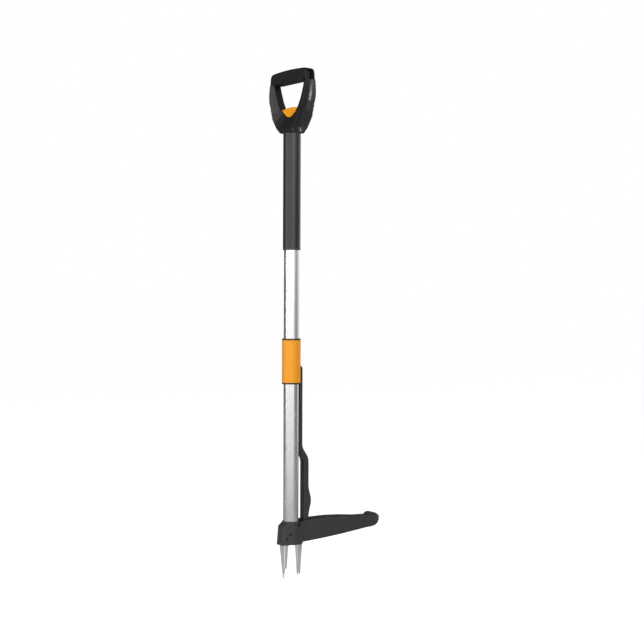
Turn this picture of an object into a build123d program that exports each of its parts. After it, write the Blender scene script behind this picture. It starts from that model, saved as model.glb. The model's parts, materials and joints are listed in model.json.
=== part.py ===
from build123d import *
import os

# Stand-up weeder: a long tool that pulls weeds without bending down.
# Millimetres.  +Z runs up the shaft, the foot pedal points to +Y, all pivots
# run along X.  The origin is on the shaft's axis at the sole of the head.

os.makedirs("parts", exist_ok=True)

# ---------------------------------------------------------------- dimensions
# lower shaft
TUBE_R = 15.0
TUBE_WALL = 1.5
TUBE_BORE = TUBE_R - TUBE_WALL
TUBE_BOTTOM = 34.0
TUBE_TOP = 776.0
END_BUSH_H = 6.0

# telescopic upper tube
OUTER_R = 17.3
OUTER_BORE = 15.7
OUTER_BOTTOM = 580.0
OUTER_TOP = 805.0
GUIDE_LIP_H = 4.0
GUIDE_SLEEVE_H = 25.0
RUN_GAP = 0.1

# D-handle
BAR_TOP = 929.2
BAR_END_TOP = 926.6
HOLE_TOP = 904.0
BAR_HALF = 50.0
BAR_DEPTH = 11.5
GRIP_SKIN = 2.2
GRIP_LOW = 905.5
GRIP_END = 61.5
GRIP_CORNER_LOW = (60.7, 915.0)
GRIP_CORNER_TOP = (50.0, 927.2)
CORE_HALF = 55.0
POCKET_MID = 914.6
POCKET_HALF_Y = 7.4
POCKET_HALF_Z = 9.2
POCKET_FLOOR = 46.0
INNER_EDGE = 8.0
SLOPE_RISE = 10.0
SLOPE_RUN = 26.0
SPIGOT_BOTTOM = 785.0

# release button and lock
BUTTON_HALF_T = 5.5
LOCK_TUBE_R = 5.0
LOCK_TUBE_BORE = 3.6
LOCK_TUBE_BOTTOM = 588.0
LOCK_TUBE_GRIP = 15.0
ROD_R = 3.0
SHOE_R = 13.2
SHOE_H = 28.0
CONE_GAP = 0.35
SPRING_R = 5.6
SPRING_WIRE = 0.6

# head
HEAD_H = 45.5
FRONT_Y = -27.5
FRONT_LEAN = 4.0
FRONT_HALF = 10.8
SHOULDER_HALF = 18.0
SHOULDER_Y = -2.0
CHEEK_WALL_OUT = 19.5
CHEEK_WALL_IN = 17.5
HEAD_CEILING = 33.0
COLLAR_R = 17.2

# pivots, as (y, z)
PEDAL_PIVOT = (-10.5, 20.0)
CLAW_PIVOT_Y = 17.0
CLAW_PIVOT_Z = 12.7
LIFT_PIN = (0.0, 14.0)
LINK_PIN = (31.0, 14.0)
PIN_R = 2.0
PIN_HALF = 18.2

# claws
SHEET = 1.8
CLAW_FACE_Y = 21.2
CLAW_TOP = 9.0
CLAW_TIP = -65.0
FRONT_ARM_X = 9.0
REAR_ARM_X = 7.5
SLOT_R = PIN_R + 0.35

# pedal
CHEEK_IN = 9.3
CHEEK_OUT = 11.4
EAR_IN = 15.3
DECK_SLOT_HALF = 8.5
DECK_SLOT_END = 51.0
PEDAL_WALL = 2.4

# ejector slide and its link
SLIDE_BOTTOM = 313.5
SLIDE_TOP = 402.6
SLIDE_RIM = 3.0
SLIDE_R = 18.4
SLIDE_LINER_R = 16.6
LINK_HALF = 7.5
LINK_TOP = 349.0


def z_ring(radius_out, radius_in, z_low, z_high, mode=Mode.ADD):
    """A plain ring round the shaft's axis, made in the part that is open."""
    with BuildSketch(Plane.XY.offset(z_low)) as ring:
        Circle(radius_out)
        Circle(radius_in, mode=Mode.SUBTRACT)
    extrude(ring.sketch, amount=z_high - z_low, mode=mode)


def cross_pin(y, z, radius, x_low, x_high, mode=Mode.ADD):
    """A round bar along X at (y, z), made in the part that is open."""
    with BuildSketch(Plane.YZ.offset(x_low)) as section:
        with Locations((y, z)):
            Circle(radius)
    extrude(section.sketch, amount=x_high - x_low, mode=mode)


def back_pin(z, radius, y_low, y_high, mode=Mode.ADD, taper=0):
    """A round bar along Y behind the shaft's axis, made in the part that is open."""
    with BuildSketch(Plane.XZ.offset(-y_low)) as section:
        with Locations((0, z)):
            Circle(radius)
    extrude(section.sketch, amount=-(y_high - y_low), taper=taper, mode=mode)


# ------------------------------------------------------------ lower shaft
RIVET_Z = 39.5
RIVET_R = 2.0
RIVET_HEAD_R = 4.0
RIVET_HEAD_H = 1.2
SPIGOT_IN = 10.5
SPIGOT_TOP = 62.0

with BuildPart() as shaft_tube:
    z_ring(TUBE_R, TUBE_BORE, TUBE_BOTTOM, TUBE_TOP)
    back_pin(RIVET_Z, RIVET_R, TUBE_BORE - 2, TUBE_R + 2, mode=Mode.SUBTRACT)
shaft_tube.part.label = "shaft_tube"
export_step(shaft_tube.part, "parts/shaft_tube.step")

# a plastic ring on the tube's upper end that runs inside the upper tube
with BuildPart() as shaft_end_bush:
    z_ring(OUTER_BORE - RUN_GAP, TUBE_BORE, TUBE_TOP, TUBE_TOP + END_BUSH_H)
    z_ring(OUTER_BORE - RUN_GAP, TUBE_R, TUBE_TOP - 2, TUBE_TOP)
    chamfer(shaft_end_bush.edges().filter_by(GeomType.CIRCLE).group_by(Axis.Z)[-1], 0.6)
shaft_end_bush.part.label = "shaft_end_bush"
export_step(shaft_end_bush.part, "parts/shaft_end_bush.step")


def head_plan(height, front_y, front_half, side_half, corner):
    """The head's front half in plan: a blunt nose that flares to the sides."""
    with BuildSketch(Plane.XY.offset(height)) as plan:
        Polygon(
            (-front_half, front_y), (front_half, front_y), (side_half, SHOULDER_Y),
            (side_half, 2), (-side_half, 2), (-side_half, SHOULDER_Y),
            align=None,
        )
        fillet(plan.vertices().group_by(Axis.Y)[0], corner)
    return plan.sketch


HEAD_SIDE = [
    (-6.0, 0.0), (13.5, 0.0), (15.2, 3.0), (20.7, 8.6), (20.9, 13.5),
    (18.9, 17.5), (13.6, 24.0), (10.4, 29.0), (7.6, 35.5), (-4.0, 36.0),
]

with BuildPart() as head_housing:
    # blunt nose, leaning back a little
    sole = head_plan(0, FRONT_Y, FRONT_HALF, SHOULDER_HALF, 5)
    top = head_plan(HEAD_H, FRONT_Y + FRONT_LEAN, FRONT_HALF, SHOULDER_HALF, 5)
    loft(sections=[sole, top])
    # the shoulder slopes up to a thin collar round the tube
    with BuildSketch(Plane.XZ):
        Polygon(
            (0, -1), (42, -1), (42, 14), (32, 28), (26.5, 35), (18.4, 42),
            (16.6, 42), (16.6, 43.3), (COLLAR_R, 43.3), (COLLAR_R, HEAD_H), (0, HEAD_H),
            align=None,
        )
    revolve(axis=Axis.Z, mode=Mode.INTERSECT)
    # collar's back half
    z_ring(COLLAR_R, SPIGOT_IN, HEAD_CEILING, HEAD_H)
    # raised side walls that carry the pins
    for side in (1, -1):
        with BuildSketch(Plane.YZ.offset(side * CHEEK_WALL_IN)):
            Polygon(*HEAD_SIDE, align=None)
        extrude(amount=side * (CHEEK_WALL_OUT - CHEEK_WALL_IN))
    # room inside for the claws' arms and the pedal's cheeks, open below and behind
    mouth = head_plan(-1, FRONT_Y + 2.4, FRONT_HALF - 1.6, SHOULDER_HALF - 1.7, 3)
    ceiling = head_plan(HEAD_CEILING, FRONT_Y + 5.2, FRONT_HALF - 1.6, SHOULDER_HALF - 1.7, 3)
    loft(sections=[mouth, ceiling], mode=Mode.SUBTRACT)
    with BuildSketch(Plane.XY.offset(-1)):
        with Locations((0, 15)):
            Rectangle(2 * CHEEK_WALL_IN, 36)
    extrude(amount=HEAD_CEILING + 1, mode=Mode.SUBTRACT)
    # the pedal's ears rise past both sides of the collar
    for side in (1, -1):
        with BuildSketch(Plane.XY.offset(HEAD_CEILING - 1)):
            with Locations((side * (CHEEK_WALL_IN + TUBE_R) / 2, 15)):
                Rectangle(CHEEK_WALL_IN - TUBE_R, 36)
        extrude(amount=HEAD_H, mode=Mode.SUBTRACT)
    # socket for the tube, with a spigot inside it
    z_ring(TUBE_BORE, SPIGOT_IN, HEAD_CEILING, SPIGOT_TOP)
    with BuildSketch(Plane.XY.offset(TUBE_BOTTOM)):
        Circle(TUBE_R)
        Circle(TUBE_BORE, mode=Mode.SUBTRACT)
    extrude(amount=HEAD_H, mode=Mode.SUBTRACT)
    # pin holes
    for pin_y, pin_z in (PEDAL_PIVOT, (-CLAW_PIVOT_Y, CLAW_PIVOT_Z), (CLAW_PIVOT_Y, CLAW_PIVOT_Z)):
        cross_pin(pin_y, pin_z, PIN_R, -25, 25, mode=Mode.SUBTRACT)
    # rivet hole at the back
    back_pin(RIVET_Z, RIVET_R, SPIGOT_IN - 2, COLLAR_R + 2, mode=Mode.SUBTRACT)
head_housing.part.label = "head_housing"
export_step(head_housing.part, "parts/head_housing.step")

with BuildPart() as tube_rivet:
    back_pin(RIVET_Z, RIVET_R, SPIGOT_IN, COLLAR_R)
    back_pin(RIVET_Z, RIVET_HEAD_R, COLLAR_R, COLLAR_R + RIVET_HEAD_H, taper=30)
tube_rivet.part.label = "tube_rivet"
export_step(tube_rivet.part, "parts/tube_rivet.step")

# each pin is pressed into the head's side walls, its ends a little below them
with BuildPart() as pedal_pivot_pin:
    cross_pin(*PEDAL_PIVOT, PIN_R, -13.2, 13.2)
pedal_pivot_pin.part.label = "pedal_pivot_pin"
export_step(pedal_pivot_pin.part, "parts/pedal_pivot_pin.step")

with BuildPart() as front_claw_pin:
    cross_pin(-CLAW_PIVOT_Y, CLAW_PIVOT_Z, PIN_R, -12, 12)
front_claw_pin.part.label = "front_claw_pin"
export_step(front_claw_pin.part, "parts/front_claw_pin.step")

with BuildPart() as rear_claw_pin:
    cross_pin(CLAW_PIVOT_Y, CLAW_PIVOT_Z, PIN_R, -PIN_HALF, PIN_HALF)
rear_claw_pin.part.label = "rear_claw_pin"
export_step(rear_claw_pin.part, "parts/rear_claw_pin.step")

# sleeves on the claw pins keep each claw's arm to its own side
SPACER_R = 3.2
SPACER_GAP = 0.15
SPACERS = (
    (-CLAW_PIVOT_Y, -FRONT_ARM_X, FRONT_ARM_X - SHEET - SPACER_GAP),
    (CLAW_PIVOT_Y, -REAR_ARM_X + SHEET + SPACER_GAP, CHEEK_IN - 0.4),
)
with BuildPart() as claw_spacers:
    for spacer_y, x_low, x_high in SPACERS:
        cross_pin(spacer_y, CLAW_PIVOT_Z, SPACER_R, x_low, x_high)
    for spacer_y, x_low, x_high in SPACERS:
        cross_pin(spacer_y, CLAW_PIVOT_Z, PIN_R, x_low - 1, x_high + 1, mode=Mode.SUBTRACT)
claw_spacers.part.label = "claw_spacers"
export_step(claw_spacers.part, "parts/claw_spacers.step")

# ------------------------------------------------------------------ claws
# Each claw is one sheet bent to an L: a face across the tool and a side along
# it.  Above its pivot the side runs inwards as an arm, whose slot rides on the
# pedal's lift pin.
TEETH_PITCH = 5.0
TEETH_DEPTH = 0.9
ARM_HALF = 2.5


def degrees_of(slope):
    """The angle of a line that rises by slope for each step along."""
    return Vector(1, 0).get_signed_angle(Vector(1, slope), Vector(0, 0, 1))


def toothed_edge(start, end, depth):
    """Points of a saw-toothed edge from start to end, its teeth set to one side."""
    run = Vector(*end) - Vector(*start)
    count = int(run.length // TEETH_PITCH)
    step = run / count
    side = Vector(-run.Y, run.X).normalized() * depth
    points = []
    for k in range(count):
        tooth = Vector(*start) + step * k
        points.append((tooth.X, tooth.Y))
        tip = tooth + step * 0.85 + side
        points.append((tip.X, tip.Y))
    points.append(end)
    return points


def claw_arm(pivot_y, slot_near, slot_far, x_low):
    """The arm in the plane of the claw's side: pivot eye, bar and slotted end."""
    slot_mid = (slot_near + slot_far) / 2
    slot_long = abs(slot_far - slot_near)
    tilt = (LIFT_PIN[1] - CLAW_PIVOT_Z) / (LIFT_PIN[0] - pivot_y)
    centre = (slot_mid, CLAW_PIVOT_Z + tilt * (slot_mid - pivot_y))
    angle = degrees_of(tilt)
    with BuildSketch(Plane.YZ.offset(x_low)) as arm:
        with Locations((pivot_y, CLAW_PIVOT_Z)):
            Circle(4.3)
        with Locations(Location(centre, angle)):
            SlotOverall(slot_long + 2 * SLOT_R + 3.4, 2 * SLOT_R + 3.4)
        bar_mid = ((pivot_y + slot_mid) / 2, (CLAW_PIVOT_Z + centre[1]) / 2 - 0.5)
        with Locations(Location(bar_mid, angle)):
            Rectangle(abs(slot_mid - pivot_y), 2 * ARM_HALF)
        with Locations((pivot_y, CLAW_PIVOT_Z)):
            Circle(PIN_R + 0.06, mode=Mode.SUBTRACT)
        with Locations(Location(centre, angle)):
            SlotOverall(slot_long + 2 * SLOT_R, 2 * SLOT_R, mode=Mode.SUBTRACT)
    extrude(arm.sketch, amount=SHEET)


with BuildPart() as front_claw:
    # face: tapers to the long point
    face_points = [(-8.2, CLAW_TOP), (-8.2, 2)]
    face_points += [(4.2, CLAW_TIP), (5.4, CLAW_TIP + 0.8)]
    face_points += toothed_edge((5.9, -60), (FRONT_ARM_X, -45), -TEETH_DEPTH / 2)
    face_points += [(FRONT_ARM_X, CLAW_TOP)]
    with BuildSketch(Plane.XZ.offset(CLAW_FACE_Y)):
        Polygon(*face_points, align=None)
    extrude(amount=-SHEET)
    # side: a second, shorter point with a toothed edge
    with BuildSketch(Plane.YZ.offset(FRONT_ARM_X - SHEET)):
        Polygon(
            (-CLAW_FACE_Y, CLAW_TOP + 3), (-CLAW_FACE_Y, -45), (-16.4, -46.5),
            *toothed_edge((-15.2, -44), (-11.6, -4), TEETH_DEPTH), (-12.4, CLAW_TOP + 3),
            align=None,
        )
    extrude(amount=SHEET)
    claw_arm(-CLAW_PIVOT_Y, -0.4, 2.2, FRONT_ARM_X - SHEET)
    cross_pin(-CLAW_PIVOT_Y, CLAW_PIVOT_Z, PIN_R + 0.06, 0, 12, mode=Mode.SUBTRACT)
    fillet(front_claw.edges().filter_by(Axis.Z).sort_by_distance((20, -40, -20))[0:1], 1.5)
front_claw.part.label = "front_claw"
export_step(front_claw.part, "parts/front_claw.step")

with BuildPart() as rear_claw:
    # face: ends in two small teeth with a notch between them
    with BuildSketch(Plane.XZ.offset(-CLAW_FACE_Y)):
        Polygon(
            (-REAR_ARM_X, CLAW_TOP), (9.3, CLAW_TOP), (9.3, 0), (2.9, -61.5),
            (-1.6, -57.4), (-5.6, CLAW_TIP + 0.6), (-REAR_ARM_X, -52),
            align=None,
        )
    extrude(amount=SHEET)
    with BuildSketch(Plane.YZ.offset(-REAR_ARM_X)):
        Polygon(
            (CLAW_FACE_Y, CLAW_TOP + 3), (CLAW_FACE_Y, -52),
            *toothed_edge((19.6, -52), (14.8, -3), -TEETH_DEPTH), (12.4, CLAW_TOP + 3),
            align=None,
        )
    extrude(amount=SHEET)
    claw_arm(CLAW_PIVOT_Y, 0.3, 1.8, -REAR_ARM_X)
    cross_pin(CLAW_PIVOT_Y, CLAW_PIVOT_Z, PIN_R + 0.06, -12, 0, mode=Mode.SUBTRACT)
    fillet(rear_claw.edges().filter_by(Axis.Z).sort_by_distance((-20, 40, -20))[0:1], 1.5)
rear_claw.part.label = "rear_claw"
export_step(rear_claw.part, "parts/rear_claw.step")

# ------------------------------------------------------------------ pedal
PEDAL_SIDE = [
    (20.9, 4.0), (105, 9.9), (177, 16.0), (192, 16.2), (203, 17.2), (212, 20.4), (220, 27),
    (222, 32), (220, 36), (208, 38.4), (184, 38.8), (176, 39.0), (164, 39.4),
    (133, 42.8), (95, 45.1), (47, 45.3), (20, 45.0), (12.5, 42.5), (11, 39),
    (11.5, 15.4), (20.6, 15.4),
]
PEDAL_PLAN = [
    (0, 17.2), (26, 17.2), (60, 19.8), (110, 20.0), (150, 18.6), (175, 17.0), (190, 15.6),
    (203, 13.2), (212, 10.4), (219, 6.4), (222, 0),
]
# the raised lip that keeps the foot from sliding off the toe
LIP_SIDE = [
    (187, 37), (189, 39.8), (192.5, 43.2), (197, 44.6), (202, 44.2), (208, 42.4), (215, 38.6),
    (219, 34),
]
LIP_INSET = 1.2
LIP_HALF = 8.5
# what is cleared in front of the deck so that the pedal can rise to the shaft
DECK_FRONT = [
    (-30, 29.0), (3.8, 28.0), (18.7, 23.2), (28.2, 48.7), (28.2, 60), (-30, 60),
]
# the space under the deck, and the dished tread on top of it, seen from the side
HOLLOW_SIDE = [
    (-5, -5), (203, -5), (211, 27), (200, 34), (176, 34), (160, 33.4),
    (133, 36.6), (95, 38.6), (60, 38.9), (50, 42.3), (-5, 42.3),
]
TREAD_FRONT = 54.0
TREAD_BACK = 174.0
TREAD_RIM = 3.0
TREAD_SIDE = [
    (TREAD_FRONT, 60), (TREAD_FRONT, 42.6), (60, 41.3), (95, 41.2), (133, 39.0),
    (160, 35.8), (170, 37.2), (TREAD_BACK, 60),
]
TOE = 222.0
CHEEK_MID = 5.0
CHEEK_LONG = 38.0
# cross ribs under the deck, as (y, top, half width)
RIBS = ((72, 40, 18.8), (96, 40, 19.0), (120, 38.4, 18.4), (144, 36.6, 17.2), (164, 34.8, 15.8))
RIB_DEEP = 14.0
CHEEK_SIDE = [
    (-10.5, 25.0), (3.8, 28.0), (18.7, 23.2), (24, 23.2), (24, 15.4), (12, 15.4),
    (4.5, 9.6), (-4.5, 9.6), (-10.5, 15.0),
]


def pedal_plan(inset, y_from, y_to, z_low, z_high, mode=Mode.ADD):
    """The pedal's plan, drawn in by inset, between two heights."""
    half = [(y, max(w - inset, 0)) for y, w in PEDAL_PLAN]
    right = [(w, min(max(y, y_from), y_to)) for y, w in half if w > 0]
    left = [(-w, y) for w, y in reversed(right)]
    with BuildSketch(Plane.XY.offset(z_low)) as plan:
        Polygon(*right, (0, y_to), *left, align=None)
    extrude(plan.sketch, amount=z_high - z_low, mode=mode)


# the space under the deck, open below
with BuildPart() as pedal_hollow:
    with BuildSketch(Plane.YZ):
        Polygon(*HOLLOW_SIDE, align=None)
    extrude(amount=30, both=True)
    pedal_plan(PEDAL_WALL, -5, TOE - 5, -10, 60, mode=Mode.INTERSECT)
    # in front the side walls are thick cheeks
    with BuildSketch(Plane.XY.offset(-10)):
        with Locations((0, CHEEK_MID)):
            Rectangle(60, CHEEK_LONG)
            Rectangle(2 * CHEEK_IN, CHEEK_LONG, mode=Mode.SUBTRACT)
    extrude(amount=70, mode=Mode.SUBTRACT)

# the dished tread on top
with BuildPart() as pedal_dish:
    with BuildSketch(Plane.YZ):
        Polygon(*TREAD_SIDE, align=None)
    extrude(amount=30, both=True)
    pedal_plan(TREAD_RIM, TREAD_FRONT, TREAD_BACK, 30, 60, mode=Mode.INTERSECT)

with BuildPart() as toe_lip:
    with BuildSketch(Plane.YZ):
        Polygon(*LIP_SIDE, align=None)
    extrude(amount=LIP_HALF, both=True)
    pedal_plan(LIP_INSET, 150, TOE - LIP_INSET, 20, 60, mode=Mode.INTERSECT)

with BuildPart() as foot_pedal:
    with BuildSketch(Plane.YZ):
        Polygon(*PEDAL_SIDE, align=None)
    extrude(amount=25, both=True)
    pedal_plan(0, 0, TOE, -10, 60, mode=Mode.INTERSECT)
    add(pedal_hollow.part, mode=Mode.SUBTRACT)
    add(pedal_dish.part, mode=Mode.SUBTRACT)
    # raised lip on the toe
    add(toe_lip.part)
    # room for the shaft between the ears
    with BuildSketch(Plane.YZ):
        Polygon(*DECK_FRONT, align=None)
    extrude(amount=EAR_IN, both=True, mode=Mode.SUBTRACT)
    # slot for the link, open to the front
    with BuildSketch(Plane.XY.offset(24)):
        with Locations((0, DECK_SLOT_END - 20)):
            Rectangle(2 * DECK_SLOT_HALF, 40)
    extrude(amount=40, mode=Mode.SUBTRACT)
    # cheeks that reach forward to the pedal's pivot
    for x_low in (CHEEK_IN, -CHEEK_OUT):
        with BuildSketch(Plane.YZ.offset(x_low)) as cheek:
            Polygon(*CHEEK_SIDE, align=None)
            with Locations(PEDAL_PIVOT):
                Circle(5.0)
        extrude(amount=CHEEK_OUT - CHEEK_IN)
    cross_pin(*PEDAL_PIVOT, PIN_R + 0.06, -25, 25, mode=Mode.SUBTRACT)
    cross_pin(*LIFT_PIN, PIN_R, -CHEEK_OUT, CHEEK_OUT, mode=Mode.SUBTRACT)
    # cross ribs under the deck
    for rib_y, rib_top, rib_half in RIBS:
        with BuildSketch(Plane.XZ.offset(-rib_y)) as rib:
            with Locations((0, rib_top - RIB_DEEP / 2)):
                Rectangle(2 * rib_half, RIB_DEEP)
        extrude(rib.sketch, amount=-1.8)
    # slots in the side walls for the link's pin
    for x_low in (12, -22):
        with BuildSketch(Plane.YZ.offset(x_low)) as pin_slot:
            with Locations(LINK_PIN):
                SlotOverall(2 * PIN_R + 2.6, 2 * PIN_R + 0.8)
        extrude(pin_slot.sketch, amount=10 if x_low < 0 else 3.2, mode=Mode.SUBTRACT)
foot_pedal.part.label = "foot_pedal"
export_step(foot_pedal.part, "parts/foot_pedal.step")

with BuildPart() as claw_lift_pin:
    cross_pin(*LIFT_PIN, PIN_R, -CHEEK_OUT, CHEEK_OUT)
claw_lift_pin.part.label = "claw_lift_pin"
export_step(claw_lift_pin.part, "parts/claw_lift_pin.step")

# ---------------------------------------------------- ejector slide and link
LINK_SCREW_R = 2.0
LINK_SCREW_HEAD_R = 3.4
LINK_SCREWS_Z = (323.0, 338.0)
LINK_BACK = 22.7
SCREW_HEAD_H = 1.6
RECESS_LONG = 3.6
RECESS_WIDE = 0.8

with BuildPart() as slider_bush:
    z_ring(SLIDE_LINER_R, TUBE_R + RUN_GAP, SLIDE_BOTTOM, SLIDE_TOP)
    for rim_low in (SLIDE_BOTTOM, SLIDE_TOP - SLIDE_RIM):
        z_ring(SLIDE_R, SLIDE_LINER_R, rim_low, rim_low + SLIDE_RIM)
    rims = slider_bush.edges().filter_by(GeomType.CIRCLE)
    fillet([e for e in rims if e.radius > SLIDE_R - 0.1], 0.8)
    for screw_z in LINK_SCREWS_Z:
        back_pin(screw_z, LINK_SCREW_R, TUBE_R - 1, SLIDE_R + 2, mode=Mode.SUBTRACT)
slider_bush.part.label = "slider_bush"
export_step(slider_bush.part, "parts/slider_bush.step")

with BuildPart() as slider_grip:
    z_ring(SLIDE_R - 0.1, SLIDE_LINER_R, SLIDE_BOTTOM + SLIDE_RIM, SLIDE_TOP - SLIDE_RIM)
    for screw_z in LINK_SCREWS_Z:
        back_pin(screw_z, LINK_SCREW_R, TUBE_R - 1, SLIDE_R + 2, mode=Mode.SUBTRACT)
slider_grip.part.label = "slider_grip"
export_step(slider_grip.part, "parts/slider_grip.step")

with BuildPart() as link_arm:
    with BuildSketch(Plane.YZ):
        with BuildLine():
            inner = Polyline(
                (SLIDE_R, LINK_TOP), (SLIDE_R, SLIDE_BOTTOM - 1), (15.6, SLIDE_BOTTOM - 4),
                (15.6, 192),
            )
            Spline(inner @ 1, (17.6, 180), (27.6, 156), tangents=((0, -1), (0, -1)))
            foot = Polyline(
                (27.6, 156), (27.6, 34), (24.8, 26), (24.8, 12), (27.5, 8.2), (34.5, 8.2),
                (37.6, 12), (38.3, 52),
            )
            Spline(foot @ 1, (44.4, 84), (38.3, 114), tangents=((0.1, 1), (-0.02, 1)))
            Line((38.3, 114), (38.3, 156))
            Spline((38.3, 156), (31.5, 176), (22.7, 196), tangents=((0, 1), (0, 1)))
            Polyline((22.7, 196), (LINK_BACK, LINK_TOP - 2), (LINK_BACK - 1, LINK_TOP),
                     (SLIDE_R, LINK_TOP))
        make_face()
    extrude(amount=LINK_HALF, both=True)
    # round the upper end as seen from behind
    upper = link_arm.edges().filter_by(Axis.Y).group_by(Axis.Z)[-1]
    fillet(upper, LINK_HALF - 0.3)
    for screw_z in LINK_SCREWS_Z:
        back_pin(screw_z, LINK_SCREW_R, TUBE_R, LINK_BACK + 2, mode=Mode.SUBTRACT)
    cross_pin(*LINK_PIN, PIN_R, -10, 10, mode=Mode.SUBTRACT)
link_arm.part.label = "link_arm"
export_step(link_arm.part, "parts/link_arm.step")

with BuildPart() as link_screws:
    for screw_z in LINK_SCREWS_Z:
        back_pin(screw_z, LINK_SCREW_R, TUBE_R + 0.3, LINK_BACK)
        back_pin(screw_z, LINK_SCREW_HEAD_R, LINK_BACK, LINK_BACK + SCREW_HEAD_H, taper=15)
        with BuildSketch(Plane.XZ.offset(-LINK_BACK - 0.6)) as recess:
            with Locations((0, screw_z)):
                Rectangle(RECESS_LONG, RECESS_WIDE)
                Rectangle(RECESS_WIDE, RECESS_LONG)
        extrude(recess.sketch, amount=-3, mode=Mode.SUBTRACT)
link_screws.part.label = "link_screws"
export_step(link_screws.part, "parts/link_screws.step")

with BuildPart() as link_pin:
    cross_pin(*LINK_PIN, PIN_R, -14.8, 14.8)
link_pin.part.label = "link_pin"
export_step(link_pin.part, "parts/link_pin.step")

# -------------------------------------------------------- telescopic handle
SCREW_R = 2.0
SCREW_HEAD_R = 3.6
SCREW_IN = 8.5
HANDLE_SCREWS_Z = (790.5, 799.5)


def handle_screw_holes():
    """Clears both handle screws from the part that is open."""
    for screw_z in HANDLE_SCREWS_Z:
        back_pin(screw_z, SCREW_R, SCREW_IN, OUTER_R + 5, mode=Mode.SUBTRACT)


with BuildPart() as outer_tube:
    z_ring(OUTER_R, OUTER_BORE, OUTER_BOTTOM, OUTER_TOP)
    handle_screw_holes()
outer_tube.part.label = "outer_tube"
export_step(outer_tube.part, "parts/outer_tube.step")

# bush at the open end of the upper tube: a rounded lip and a thin sleeve
with BuildPart() as guide_bush:
    z_ring(OUTER_R, TUBE_R + RUN_GAP, OUTER_BOTTOM - GUIDE_LIP_H, OUTER_BOTTOM)
    z_ring(OUTER_BORE, TUBE_R + RUN_GAP, OUTER_BOTTOM, OUTER_BOTTOM + GUIDE_SLEEVE_H)
    lip = guide_bush.edges().filter_by(GeomType.CIRCLE).group_by(Axis.Z)[0]
    fillet(lip.sort_by(SortBy.RADIUS)[-1], 1.6)
guide_bush.part.label = "guide_bush"
export_step(guide_bush.part, "parts/guide_bush.step")

# D-handle.  Each arm's outer side is a shallow dish between a front ridge and a
# back ridge, listed as (height, ridge X, ridge Y, depth of the dish).
ARM = [
    (OUTER_TOP, 17.3, 16.6, 0.2), (806.8, 20.8, 16.7, 3.2), (815.5, 30.0, 16.9, 11.4),
    (829.5, 42.0, 17.3, 14.4), (846.0, 51.0, 17.0, 11.0), (864.0, 57.2, 15.8, 8.2),
    (882.0, 60.8, 13.9, 6.8), (896.0, 61.8, 12.4, 5.6), (GRIP_LOW, GRIP_END, 11.5, 4.4),
]
YOKE_EDGE = [(x, z) for z, x, y, depth in ARM]
RIDGE_DEPTH = [(y, z) for z, x, y, depth in ARM]
# the finger hole, and the button's slot at its bottom, seen from the front
HOLE_EDGE = [
    (0, 836.2), (9, 838.6), (20, 845), (30, 856.5), (38, 870), (43.5, 884), (47, 894),
    (BAR_HALF, HOLE_TOP), (BAR_HALF, GRIP_LOW),
]
SLOT_EDGE = [(28.6, 859), (28.6, 846.2), (10, 830.2), (0, 828.2)]
WELL_R = 6.6
WELL_BOTTOM = 814.0


def mirrored(points):
    """Closed outline from its right half, listed from bottom to top."""
    left = [(-x, z) for x, z in reversed(points)]
    return [p for p in points] + [p for p in left if abs(p[0]) > 1e-6]


def front_plate(points, depth, mode=Mode.ADD):
    """An outline seen from the front, extruded both ways by depth."""
    with BuildSketch(Plane.XZ) as outline:
        Polygon(*mirrored(points), align=None)
    extrude(outline.sketch, amount=depth, both=True, mode=mode)


# the cross bar inside the grip, crowned along its length, with a tongue on each arm
with BuildPart() as bar_core:
    with BuildSketch(Plane.XZ):
        with BuildLine():
            Polyline((-CORE_HALF, BAR_END_TOP - 5), (-CORE_HALF, GRIP_LOW - 2),
                     (-BAR_HALF - 1, GRIP_LOW - 2), (-BAR_HALF - 1, HOLE_TOP + GRIP_SKIN),
                     (BAR_HALF + 1, HOLE_TOP + GRIP_SKIN), (BAR_HALF + 1, GRIP_LOW - 2),
                     (CORE_HALF, GRIP_LOW - 2), (CORE_HALF, BAR_END_TOP - 5))
            ThreePointArc((CORE_HALF, BAR_END_TOP - 5), (0, BAR_TOP - GRIP_SKIN),
                          (-CORE_HALF, BAR_END_TOP - 5))
        make_face()
    extrude(amount=BAR_DEPTH - GRIP_SKIN - 0.8, both=True)

# hollow in each end of the bar
with BuildPart() as bar_end_hollows:
    for side in (1, -1):
        with BuildSketch(Plane.YZ.offset(side * 70)):
            with Locations((0, POCKET_MID)):
                RectangleRounded(2 * POCKET_HALF_Y, 2 * POCKET_HALF_Z, 3)
        extrude(amount=side * (POCKET_FLOOR - 70))

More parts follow.
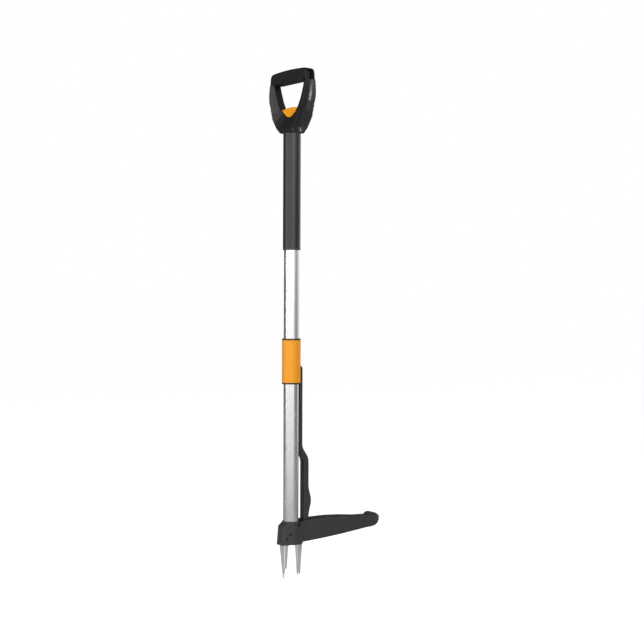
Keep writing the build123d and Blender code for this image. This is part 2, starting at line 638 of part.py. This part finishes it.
# soft grip: everything above the arms, less the core and the end hollows
with BuildPart() as bar_grip:
    with BuildSketch(Plane.XZ):
        with BuildLine():
            Polyline((-GRIP_END, GRIP_LOW), (-BAR_HALF, GRIP_LOW), (-BAR_HALF, HOLE_TOP),
                     (BAR_HALF, HOLE_TOP), (BAR_HALF, GRIP_LOW), (GRIP_END, GRIP_LOW))
            Polyline((GRIP_END, GRIP_LOW), GRIP_CORNER_LOW)
            Spline(GRIP_CORNER_LOW, GRIP_CORNER_TOP, tangents=((-0.1, 1), (-1, 0.1)))
            ThreePointArc(GRIP_CORNER_TOP, (0, BAR_TOP), (-GRIP_CORNER_TOP[0], GRIP_CORNER_TOP[1]))
            Spline((-GRIP_CORNER_TOP[0], GRIP_CORNER_TOP[1]), (-GRIP_CORNER_LOW[0], GRIP_CORNER_LOW[1]),
                   tangents=((-1, -0.1), (-0.1, -1)))
            Polyline((-GRIP_CORNER_LOW[0], GRIP_CORNER_LOW[1]), (-GRIP_END, GRIP_LOW))
        make_face()
    extrude(amount=BAR_DEPTH, both=True)
    long_edges = bar_grip.edges().filter_by(lambda e: abs(e.center().X) < 1)
    fillet(long_edges.group_by(Axis.Z)[-1], 4.0)
    add(bar_core.part, mode=Mode.SUBTRACT)
    add(bar_end_hollows.part, mode=Mode.SUBTRACT)
bar_grip.part.label = "bar_grip"
export_step(bar_grip.part, "parts/bar_grip.step")

# wedge that slopes the front and back faces down to the hole
with BuildPart() as face_slopes:
    with BuildSketch(Plane.XZ.offset(INNER_EDGE)) as slope_near:
        Polygon(*mirrored(HOLE_EDGE), align=None)
    with BuildSketch(Plane.XZ.offset(INNER_EDGE + SLOPE_RISE)) as slope_far:
        Polygon(*mirrored(HOLE_EDGE), align=None)
        offset(amount=SLOPE_RUN, kind=Kind.INTERSECTION)
    loft(sections=[slope_near.sketch, slope_far.sketch])
    mirror(about=Plane.XZ)


def dish_section(side, height, ridge_x, ridge_y, depth):
    """What a dish clears from one arm at one height."""
    with BuildSketch(Plane.XY.offset(height)) as section:
        with BuildLine():
            ThreePointArc(
                (side * ridge_x, ridge_y), (side * (ridge_x - depth), 0), (side * ridge_x, -ridge_y)
            )
            Polyline(
                (side * ridge_x, -ridge_y), (side * 80, -ridge_y), (side * 80, ridge_y),
                (side * ridge_x, ridge_y),
            )
        make_face()
    return section.sketch


with BuildPart() as arm_dishes:
    for side in (1, -1):
        loft(sections=[dish_section(side, *row) for row in ARM], ruled=True)

with BuildPart() as handle_yoke:
    front_plate(YOKE_EDGE, 19)
    # depth of the ridges, seen from the side
    with BuildSketch(Plane.YZ):
        Polygon(*RIDGE_DEPTH, *[(-y, z) for y, z in reversed(RIDGE_DEPTH)], align=None)
    extrude(amount=70, both=True, mode=Mode.INTERSECT)
    # finger hole
    front_plate(HOLE_EDGE, 25, mode=Mode.SUBTRACT)
    # the grip takes the whole top
    with BuildSketch(Plane.XY.offset(GRIP_LOW)):
        Rectangle(160, 60)
    extrude(amount=40, mode=Mode.SUBTRACT)
    # faces slope in from the ridges to the hole's edge
    add(face_slopes.part, mode=Mode.SUBTRACT)
    # dished outer sides
    add(arm_dishes.part, mode=Mode.SUBTRACT)
    # the bar that the grip is moulded round
    add(bar_core.part)
    add(bar_end_hollows.part, mode=Mode.SUBTRACT)
    # button's slot, well for its spring, bore for its rod
    front_plate(SLOT_EDGE[::-1], BUTTON_HALF_T + 0.3, mode=Mode.SUBTRACT)
    with BuildSketch(Plane.XY.offset(WELL_BOTTOM)):
        Circle(WELL_R)
    extrude(amount=22, mode=Mode.SUBTRACT)
    # spigot that fills the top of the tube
    with BuildSketch(Plane.XY.offset(SPIGOT_BOTTOM)):
        Circle(OUTER_BORE)
    extrude(amount=OUTER_TOP - SPIGOT_BOTTOM)
    with BuildSketch(Plane.XY.offset(SPIGOT_BOTTOM)):
        Circle(LOCK_TUBE_R)
    extrude(amount=LOCK_TUBE_GRIP, mode=Mode.SUBTRACT)
    with BuildSketch(Plane.XY.offset(SPIGOT_BOTTOM)):
        Circle(LOCK_TUBE_BORE)
    extrude(amount=60, mode=Mode.SUBTRACT)
    handle_screw_holes()
handle_yoke.part.label = "handle_yoke"
export_step(handle_yoke.part, "parts/handle_yoke.step")

# two screws hold the upper tube on the yoke's spigot
with BuildPart() as handle_screws:
    for screw_z in HANDLE_SCREWS_Z:
        back_pin(screw_z, SCREW_R, SCREW_IN, OUTER_R)
        back_pin(screw_z, SCREW_HEAD_R, OUTER_R, OUTER_R + SCREW_HEAD_H, taper=15)
handle_screws.part.label = "handle_screws"
export_step(handle_screws.part, "parts/handle_screws.step")

# ------------------------------------------------- length lock in the tube
LOCK_FLANGE_R = 12.8
LOCK_FLANGE_H = 3.0
CONE_TOP_R = 4.6
CONE_SLOPE = 4.0 / SHOE_H
SHOE_SPLIT = 1.2
SHOE_TOP = LOCK_TUBE_BOTTOM
SHOE_BOTTOM = SHOE_TOP - SHOE_H
CONE_BOTTOM = SHOE_BOTTOM - 2.0
ROD_BOTTOM = SHOE_TOP - 15.0

with BuildPart() as lock_tube:
    z_ring(LOCK_TUBE_R, LOCK_TUBE_BORE, SHOE_TOP, SPIGOT_BOTTOM + LOCK_TUBE_GRIP)
    z_ring(LOCK_FLANGE_R, LOCK_TUBE_BORE, SHOE_TOP, SHOE_TOP + LOCK_FLANGE_H)
lock_tube.part.label = "lock_tube"
export_step(lock_tube.part, "parts/lock_tube.step")

with BuildPart() as brake_shoes:
    with BuildSketch(Plane.XY.offset(SHOE_BOTTOM)):
        Circle(SHOE_R)
    extrude(amount=SHOE_H)
    with BuildSketch(Plane.XZ):
        Polygon(
            (0, SHOE_TOP + 1), (CONE_TOP_R + CONE_GAP, SHOE_TOP + 1),
            (CONE_TOP_R + CONE_GAP + CONE_SLOPE * (SHOE_H + 2), SHOE_BOTTOM - 1),
            (0, SHOE_BOTTOM - 1),
            align=None,
        )
    revolve(axis=Axis.Z, mode=Mode.SUBTRACT)
    with BuildSketch(Plane.XY.offset(SHOE_BOTTOM - 1)):
        Rectangle(4 * SHOE_R, SHOE_SPLIT)
    extrude(amount=SHOE_H + 2, mode=Mode.SUBTRACT)
brake_shoes.part.label = "brake_shoes"
export_step(brake_shoes.part, "parts/brake_shoes.step")

with BuildPart() as brake_cone:
    with BuildSketch(Plane.XZ):
        Polygon(
            (0, SHOE_TOP - 1), (CONE_TOP_R, SHOE_TOP - 1),
            (CONE_TOP_R + CONE_SLOPE * (SHOE_TOP - 1 - CONE_BOTTOM), CONE_BOTTOM),
            (0, CONE_BOTTOM),
            align=None,
        )
    revolve(axis=Axis.Z)
    with BuildSketch(Plane.XY.offset(ROD_BOTTOM)):
        Circle(ROD_R)
    extrude(amount=20, mode=Mode.SUBTRACT)
brake_cone.part.label = "brake_cone"
export_step(brake_cone.part, "parts/brake_cone.step")

ROD_TOP = 834.0
with BuildPart() as release_rod:
    with BuildSketch(Plane.XY.offset(ROD_BOTTOM)):
        Circle(ROD_R)
    extrude(amount=ROD_TOP - ROD_BOTTOM)
release_rod.part.label = "release_rod"
export_step(release_rod.part, "parts/release_rod.step")

# the button: a saddle that fills the bottom of the finger hole
BUTTON_BOTTOM = 836.4
BUTTON_TOP = 856.0
BUTTON_SIDE = 853.0
BUTTON_HALF = 28.2
BUTTON_KEEL = 9.6
BUTTON_BOSS_R = 5.2
with BuildPart() as release_button:
    with BuildSketch(Plane.XZ):
        with BuildLine():
            ThreePointArc((-BUTTON_HALF, BUTTON_SIDE), (0, BUTTON_TOP), (BUTTON_HALF, BUTTON_SIDE))
            Polyline((BUTTON_HALF, BUTTON_SIDE), (BUTTON_HALF, BUTTON_SIDE - 0.6),
                     (BUTTON_KEEL, BUTTON_BOTTOM + 1), (0, BUTTON_BOTTOM),
                     (-BUTTON_KEEL, BUTTON_BOTTOM + 1), (-BUTTON_HALF, BUTTON_SIDE - 0.6),
                     (-BUTTON_HALF, BUTTON_SIDE))
        make_face()
    extrude(amount=BUTTON_HALF_T, both=True)
    fillet(release_button.edges().group_by(Axis.Z)[-1].filter_by(GeomType.CIRCLE), 1.6)
    # boss for the rod
    with BuildSketch(Plane.XY.offset(ROD_TOP - 1)):
        Circle(BUTTON_BOSS_R)
    extrude(amount=10)
    with BuildSketch(Plane.XY.offset(ROD_TOP - 2)):
        Circle(ROD_R)
    extrude(amount=2, mode=Mode.SUBTRACT)
release_button.part.label = "release_button"
export_step(release_button.part, "parts/release_button.step")

# spring that lifts the button
SPRING_TURNS = 5
SPRING_H = ROD_TOP - 1 - WELL_BOTTOM - 2 * SPRING_WIRE
with BuildPart() as button_spring:
    with BuildLine() as coil:
        Helix(
            pitch=SPRING_H / SPRING_TURNS, height=SPRING_H, radius=SPRING_R - 2 * SPRING_WIRE,
            center=(0, 0, WELL_BOTTOM + SPRING_WIRE),
        )
    with BuildSketch(Plane(origin=coil.line @ 0, z_dir=coil.line % 0)):
        Circle(SPRING_WIRE)
    sweep(path=coil.line, is_frenet=True)
button_spring.part.label = "button_spring"
export_step(button_spring.part, "parts/button_spring.step")
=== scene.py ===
import json
import math

import bmesh
import bpy
from mathutils import Matrix, Vector


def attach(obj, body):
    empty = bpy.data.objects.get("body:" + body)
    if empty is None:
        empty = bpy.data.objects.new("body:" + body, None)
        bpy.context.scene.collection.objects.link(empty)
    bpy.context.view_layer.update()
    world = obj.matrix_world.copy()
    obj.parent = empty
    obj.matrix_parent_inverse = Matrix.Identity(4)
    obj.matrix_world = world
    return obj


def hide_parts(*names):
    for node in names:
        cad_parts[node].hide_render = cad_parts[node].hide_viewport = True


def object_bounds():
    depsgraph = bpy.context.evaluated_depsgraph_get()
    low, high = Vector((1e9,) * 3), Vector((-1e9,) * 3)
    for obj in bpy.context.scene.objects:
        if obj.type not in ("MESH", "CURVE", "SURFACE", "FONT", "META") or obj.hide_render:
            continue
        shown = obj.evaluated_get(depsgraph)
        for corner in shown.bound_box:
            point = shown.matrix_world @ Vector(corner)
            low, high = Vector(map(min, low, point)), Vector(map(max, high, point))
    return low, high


# A stand-up weeder: a bright tube with a black telescopic D-handle above, an
# orange slide in the middle, and a black head with claws and a pedal below.
# Metres, in the CAD model's own frame.  Its front faces -Y.

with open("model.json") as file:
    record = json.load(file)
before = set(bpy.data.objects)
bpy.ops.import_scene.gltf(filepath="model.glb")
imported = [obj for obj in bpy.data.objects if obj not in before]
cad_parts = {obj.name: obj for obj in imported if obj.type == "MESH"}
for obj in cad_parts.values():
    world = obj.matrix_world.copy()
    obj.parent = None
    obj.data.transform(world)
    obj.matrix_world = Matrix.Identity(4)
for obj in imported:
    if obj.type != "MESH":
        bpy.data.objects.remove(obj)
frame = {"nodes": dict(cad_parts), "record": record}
cad_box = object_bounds()
nodes = frame["nodes"]
bodies = frame["record"]["behaviour"]["bodies"]
node_body = {node: body for body, members in bodies.items() for node in members}
node_slot = {p["node"]: p["material_slot"] for p in frame["record"]["subparts"]}


# ------------------------------------------------------------- materials
def grey(v):
    return (v, v, v, 1.0)


class Shader:
    """A node material built on one Principled shader."""

    def __init__(self, name, **constants):
        self.material = bpy.data.materials.new(name)
        self.material.use_nodes = True
        self.tree = self.material.node_tree
        self.principled = self.tree.nodes["Principled BSDF"]
        for socket, value in constants.items():
            self.principled.inputs[socket.replace("_", " ")].default_value = value
        self.place = self.tree.nodes.new("ShaderNodeTexCoord").outputs["Object"]

    def node(self, kind, **sockets):
        made = self.tree.nodes.new(kind)
        for socket, value in sockets.items():
            self.feed(made.inputs[socket.replace("_", " ")], value)
        return made

    def feed(self, socket, value):
        if isinstance(value, bpy.types.NodeSocket):
            self.tree.links.new(value, socket)
        else:
            socket.default_value = value

    def stretched(self, x, y, z):
        """Object coordinates scaled by a factor along each axis."""
        return self.node("ShaderNodeMapping", Vector=self.place, Scale=(x, y, z)).outputs["Vector"]

    def noise(self, scale, where=None, detail=3.0, roughness=0.5):
        made = self.node(
            "ShaderNodeTexNoise", Vector=where or self.place, Scale=scale,
            Detail=detail, Roughness=roughness,
        )
        return made.outputs["Fac"]

    def ramp(self, factor, low, high, low_value, high_value):
        """factor between low and high, spread over low_value to high_value."""
        made = self.node("ShaderNodeMapRange", Value=factor)
        made.inputs["From Min"].default_value = low
        made.inputs["From Max"].default_value = high
        made.inputs["To Min"].default_value = low_value
        made.inputs["To Max"].default_value = high_value
        return made.outputs["Result"]

    def mixed(self, factor, first, second):
        made = self.tree.nodes.new("ShaderNodeMix")
        made.data_type = "RGBA"
        self.feed(made.inputs["Factor"], factor)
        self.feed(made.inputs["A"], first)
        self.feed(made.inputs["B"], second)
        return made.outputs["Result"]

    def edges(self, low=0.515, high=0.58):
        """0 on flats, 1 on the sharpest outer edges."""
        pointed = self.tree.nodes.new("ShaderNodeNewGeometry").outputs["Pointiness"]
        return self.ramp(pointed, low, high, 0.0, 1.0)

    def colour(self, value):
        self.feed(self.principled.inputs["Base Color"], value)

    def rough(self, value):
        self.feed(self.principled.inputs["Roughness"], value)

    def bump(self, *layers):
        """Stacked bumps, each (height socket, depth in metres, strength)."""
        normal = None
        for height, depth, strength in layers:
            made = self.node("ShaderNodeBump", Height=height, Distance=depth, Strength=strength)
            if normal is not None:
                self.tree.links.new(normal, made.inputs["Normal"])
            normal = made.outputs["Normal"]
        self.tree.links.new(normal, self.principled.inputs["Normal"])


def moulded(name, base, light, rough, grain, wear_and_edge_highlight=None, **constants):
    """Moulded plastic: fine spark grain, faint flow marks and, if an edge colour is given, paler
    edges, partly wear and partly a painted highlight where the edges catch the light.
    """
    s = Shader(name, **constants)
    flow = s.noise(45.0, s.stretched(1.0, 1.0, 0.35), 4.0)
    shade = s.mixed(s.ramp(flow, 0.3, 0.7, 0.0, 1.0), base, light)
    # pale colour on the sharpest edges: partly wear, partly a painted edge highlight
    s.colour(s.mixed(s.edges(), shade, wear_and_edge_highlight) if wear_and_edge_highlight else shade)
    s.rough(s.ramp(s.noise(160.0), 0.3, 0.7, rough - 0.04, rough + 0.05))
    fine = s.noise(2600.0, detail=2.0)
    s.bump((fine, 0.00003, grain), (flow, 0.0001, 0.25))
    return s.material


def drawn_metal(name, base, light, rough, along, scratches, anisotropic=0.0):
    """Drawn or brushed metal: fine lines along one axis and faint handling marks."""
    s = Shader(name, Metallic=1.0, Anisotropic=anisotropic)
    lines = s.noise(1500.0, s.stretched(*along), 4.0, 0.6)
    cloud = s.noise(22.0, detail=5.0)
    s.colour(s.mixed(s.ramp(s.noise(320.0, s.stretched(*along)), 0.35, 0.65, 0.0, 1.0), base, light))
    s.rough(s.ramp(cloud, 0.3, 0.7, rough - 0.05, rough + 0.06))
    s.bump((lines, 0.00002, scratches))
    return s.material


# the pale edge colour given below is partly wear, partly a painted edge highlight
BLACK = moulded(
    "mould_black", (0.031, 0.0312, 0.0316, 1), (0.039, 0.0392, 0.0394, 1), 0.43, 0.25,
    wear_and_edge_highlight=grey(0.06))
HANDLE_BLACK = moulded(
    "mould_handle", (0.0085, 0.0087, 0.0091, 1), (0.0120, 0.0122, 0.0127, 1), 0.34, 0.12,
    wear_and_edge_highlight=grey(0.05), Specular_IOR_Level=0.42)
RIM_BLACK = moulded("mould_rim", grey(0.012), grey(0.017), 0.42, 0.4)
GREY = moulded("mould_grey", grey(0.11), grey(0.14), 0.5, 0.4)
ORANGE = moulded(
    "mould_orange", (0.94, 0.355, 0.009, 1), (0.98, 0.385, 0.012, 1), 0.36, 0.3,
    Specular_IOR_Level=0.35, Subsurface_Weight=0.05, Subsurface_Scale=0.001)
TUBE = drawn_metal("tube_aluminium", grey(0.70), grey(0.77), 0.27, (1, 1, 0.02), 0.3, 0.4)
PIN = drawn_metal("pin_steel", grey(0.055), grey(0.09), 0.38, (0.03, 1, 1), 0.3)
CLAW = drawn_metal("claw_steel", grey(0.86), grey(0.94), 0.42, (1, 1, 0.03), 0.5)


def soft_rubber():
    """Matt soft grip with a fine pebble and a faint dusty mottle."""
    s = Shader("soft_grip", Specular_IOR_Level=0.3)
    dust = s.noise(60.0, detail=5.0)
    s.colour(s.mixed(s.ramp(dust, 0.35, 0.7, 0.0, 1.0), (0.0050, 0.0050, 0.0056, 1),
                     (0.0085, 0.0085, 0.0094, 1)))
    s.rough(s.ramp(s.noise(240.0), 0.3, 0.7, 0.55, 0.68))
    pebble = s.node("ShaderNodeTexVoronoi", Vector=s.place, Scale=1300.0)
    s.bump((pebble.outputs["Distance"], 0.00008, 0.45), (s.noise(3000.0), 0.00002, 0.4))
    return s.material


def painted_tube():
    """Black powder coat: fine orange peel under a thin satin film."""
    s = Shader("black_coat", Coat_Weight=0.25, Coat_Roughness=0.18)
    haze = s.noise(30.0, s.stretched(1, 1, 0.3), 5.0)
    s.colour(s.mixed(s.ramp(haze, 0.3, 0.7, 0.0, 1.0), (0.0075, 0.0077, 0.0081, 1),
                     (0.0115, 0.0117, 0.0122, 1)))
    s.rough(s.ramp(s.noise(120.0), 0.3, 0.7, 0.33, 0.42))
    s.bump((s.noise(900.0, detail=3.0), 0.00006, 0.3), (s.noise(4000.0), 0.00001, 0.4))
    return s.material


GRIP = soft_rubber()
COAT = painted_tube()

SLOT_MATERIAL = {
    "bare_aluminium": TUBE,
    "black_coat": COAT,
    "black_plastic": BLACK,
    "soft_grip": GRIP,
    "orange_plastic": ORANGE,
    "grey_plastic": GREY,
    "claw_steel": CLAW,
    "steel": PIN,
}


def dress(obj, material):
    """One material on every face."""
    obj.data.materials.clear()
    obj.data.materials.append(material)


for node, obj in nodes.items():
    for material_slot in obj.material_slots:
        material_slot.material = SLOT_MATERIAL[node_slot[node]]


# ------------------------------------------------------------- pieces
def stands_for(obj, node, material):
    """Puts obj in the place of one CAD node."""
    dress(obj, material)
    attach(obj, node_body[node])
    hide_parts(node)
    return obj


JOIN_DISTANCE = 0.00001


def joined_copy(node, name):
    """A copy of a CAD node's mesh with its split corners joined."""
    mesh = nodes[node].data.copy()
    made = bpy.data.objects.new(name, mesh)
    bpy.context.collection.objects.link(made)
    made.matrix_world = nodes[node].matrix_world.copy()
    work = bmesh.new()
    work.from_mesh(mesh)
    bmesh.ops.remove_doubles(work, verts=work.verts, dist=JOIN_DISTANCE)
    work.to_mesh(mesh)
    work.free()
    return made


def softened(node, name, material, voxel, passes):
    """The CAD solid remeshed finely and relaxed, so every edge gets a moulded radius."""
    made = joined_copy(node, name)
    remesh = made.modifiers.new("even", "REMESH")
    remesh.mode = "VOXEL"
    remesh.voxel_size = voxel
    remesh.use_smooth_shade = True
    relax = made.modifiers.new("relax", "SMOOTH")
    relax.factor = 0.5
    relax.iterations = passes
    return stands_for(made, node, material)


def bevelled(node, name, material, width, segments=3, angle=28.0):
    """The CAD solid with its sharp edges rounded to width."""
    made = joined_copy(node, name)
    work = bmesh.new()
    work.from_mesh(made.data)
    bmesh.ops.dissolve_limit(
        work, angle_limit=math.radians(1.0), verts=work.verts, edges=work.edges)
    work.to_mesh(made.data)
    work.free()
    for face in made.data.polygons:
        face.use_smooth = True
    bevel = made.modifiers.new("edge", "BEVEL")
    bevel.width = width
    bevel.segments = segments
    bevel.limit_method = "ANGLE"
    bevel.angle_limit = math.radians(angle)
    bevel.harden_normals = True
    return stands_for(made, node, material)


softened("handle_yoke", "yoke_moulding", HANDLE_BLACK, 0.0007, 8)
softened("bar_grip", "grip_moulding", GRIP, 0.0006, 5)
softened("release_button", "button_moulding", ORANGE, 0.0005, 6)
softened("foot_pedal", "pedal_moulding", BLACK, 0.0007, 5)
softened("head_housing", "head_moulding", BLACK, 0.0006, 5)
softened("link_arm", "link_moulding", BLACK, 0.0006, 6)
bevelled("slider_bush", "slider_rims", RIM_BLACK, 0.0003)
bevelled("front_claw", "front_claw_sheet", CLAW, 0.00025)
bevelled("rear_claw", "rear_claw_sheet", CLAW, 0.00025)


# ------------------------------------------------------------- studio
# The floor's emission shows to the camera only, so that the floor looks white
# and lights the object no more than its albedo does.
FLOOR_ALBEDO = 0.62
FLOOR_LIFT = 0.85
FLOOR_SIZE = 400.0
FLOOR_GAP = 0.0002
HORIZON_GLOW = 0.55
ZENITH_GLOW = 0.2
CARD_BEARING = -130.0
CARD_SHADE = 0.22
VIEW_AZIMUTH = 53.0

azimuth = math.radians(VIEW_AZIMUTH)
forward = Vector((-math.sin(azimuth), math.cos(azimuth), 0))
sideways = Vector((math.cos(azimuth), math.sin(azimuth), 0))


def bearing_from_camera(degrees):
    """Level direction from the object, turned to the camera's right."""
    return Matrix.Rotation(math.radians(degrees), 3, "Z") @ -forward


def plane(name, size, at, material):
    work = bmesh.new()
    bmesh.ops.create_grid(work, x_segments=1, y_segments=1, size=size / 2)
    mesh = bpy.data.meshes.new(name)
    work.to_mesh(mesh)
    work.free()
    made = bpy.data.objects.new(name, mesh)
    made.location = at
    bpy.context.collection.objects.link(made)
    dress(made, material)
    return made


def soft_light(name, at, aim, width, height, power, spread=180.0):
    """A rectangular area light pointed at aim, with a beam spread degrees wide."""
    data = bpy.data.lights.new(name, "AREA")
    data.shape = "RECTANGLE"
    data.size = width
    data.size_y = height
    data.energy = power
    data.spread = math.radians(spread)
    made = bpy.data.objects.new(name, data)
    made.location = at
    made.rotation_euler = (Vector(aim) - Vector(at)).to_track_quat("-Z", "Y").to_euler()
    made.visible_camera = False
    bpy.context.collection.objects.link(made)
    return made


floor_shader = Shader("pale_floor", Roughness=0.9, Emission_Color=grey(1.0))
floor_shader.colour(grey(FLOOR_ALBEDO))
seen = floor_shader.tree.nodes.new("ShaderNodeLightPath").outputs["Is Camera Ray"]
floor_shader.feed(
    floor_shader.principled.inputs["Emission Strength"],
    floor_shader.ramp(seen, 0.0, 1.0, 0.0, FLOOR_LIFT))
floor = plane("floor", FLOOR_SIZE, (0, 0, cad_box[0].z - FLOOR_GAP), floor_shader.material)


def eased(tree, value, low, high, low_value, high_value):
    """value between low and high, eased over low_value to high_value."""
    made = tree.nodes.new("ShaderNodeMapRange")
    made.interpolation_type = "SMOOTHSTEP"
    made.inputs["From Min"].default_value = low
    made.inputs["From Max"].default_value = high
    made.inputs["To Min"].default_value = low_value
    made.inputs["To Max"].default_value = high_value
    tree.links.new(value, made.inputs["Value"])
    return made.outputs["Result"]


def studio_world():
    """White to the camera. It lights the object less from above and from a dark card's side."""
    world = bpy.data.worlds.new("studio")
    world.use_nodes = True
    tree = world.node_tree
    lit = tree.nodes["Background"]
    lit.inputs["Color"].default_value = grey(1.0)
    white = tree.nodes.new("ShaderNodeBackground")
    white.inputs["Strength"].default_value = 1.0
    white.inputs["Color"].default_value = grey(1.0)
    towards = tree.nodes.new("ShaderNodeTexCoord")
    split = tree.nodes.new("ShaderNodeSeparateXYZ")
    tree.links.new(towards.outputs["Generated"], split.inputs["Vector"])
    glow = eased(tree, split.outputs["Z"], 0.0, 0.9, HORIZON_GLOW, ZENITH_GLOW)
    card_side = tree.nodes.new("ShaderNodeVectorMath")
    card_side.operation = "DOT_PRODUCT"
    tree.links.new(towards.outputs["Generated"], card_side.inputs[0])
    card_side.inputs[1].default_value = bearing_from_camera(CARD_BEARING)
    card = eased(tree, card_side.outputs["Value"], 0.1, 0.75, 1.0, CARD_SHADE)
    shaded = tree.nodes.new("ShaderNodeMath")
    shaded.operation = "MULTIPLY"
    tree.links.new(glow, shaded.inputs[0])
    tree.links.new(card, shaded.inputs[1])
    tree.links.new(shaded.outputs["Value"], lit.inputs["Strength"])
    path = tree.nodes.new("ShaderNodeLightPath")
    chosen = tree.nodes.new("ShaderNodeMixShader")
    tree.links.new(path.outputs["Is Camera Ray"], chosen.inputs["Fac"])
    tree.links.new(lit.outputs["Background"], chosen.inputs[1])
    tree.links.new(white.outputs["Background"], chosen.inputs[2])
    tree.links.new(chosen.outputs["Shader"], tree.nodes["World Output"].inputs["Surface"])
    bpy.context.scene.world = world


studio_world()

# ------------------------------------------------------------- camera
CAMERA_DISTANCE = 2.5526
CAMERA_HEIGHT = 0.4785
SIDE_SHIFT = 0.0599
ROLL = 0.2
LENS = 72.67
HORIZON_SHIFT = -0.0342

data = bpy.data.cameras.new("camera")
data.lens = LENS
data.shift_y = HORIZON_SHIFT
camera = bpy.data.objects.new("camera", data)
bpy.context.collection.objects.link(camera)
eye = forward * -CAMERA_DISTANCE + sideways * SIDE_SHIFT + Vector((0, 0, CAMERA_HEIGHT))
turn = forward.to_track_quat("-Z", "Y").to_matrix().to_4x4()
camera.matrix_world = Matrix.Translation(eye) @ turn @ Matrix.Rotation(math.radians(ROLL), 4, "Z")
bpy.context.scene.camera = camera

# softboxes round the object: name, bearing to the camera's right in degrees,
# height, distance, width, tall side, power
SOFTBOX_AIM = (0, 0, 0.45)
for name, bearing, height, distance, width, tall, power in (
    ("arc_1", -66.0, 0.9, 1.9, 0.85, 2.4, 7.2),
    ("arc_2", -37.0, 0.9, 1.9, 1.13, 2.4, 9.4),
    ("arc_3", -3.0, 0.9, 1.9, 1.13, 2.4, 9.4),
    ("arc_4", 31.0, 0.9, 1.9, 1.13, 2.4, 9.0),
    ("left_strip", -80.0, 0.9, 1.7, 0.16, 1.6, 4.0),
    ("right_strip", 20.0, 1.1, 1.7, 0.16, 1.2, 2.4),
    ("right_wall", 128.0, 0.8, 2.2, 1.2, 2.0, 6.5),
):
    at = bearing_from_camera(bearing) * distance + Vector((0, 0, height))
    soft_light(name, at, SOFTBOX_AIM, width, tall, power)

# a small gridded box, whose narrow beam falls mostly on the handle
GRID_BEARING = 40.0
GRID_DISTANCE = 1.6
GRID_HEIGHT = 0.45
GRID_AIM = (0.04, 0, 0.93)
at = bearing_from_camera(GRID_BEARING) * GRID_DISTANCE + Vector((0, 0, GRID_HEIGHT))
soft_light("handle_grid", at, GRID_AIM, width=0.3, height=0.3, power=0.16, spread=11.0)

bpy.context.scene.view_settings.view_transform = "Standard"
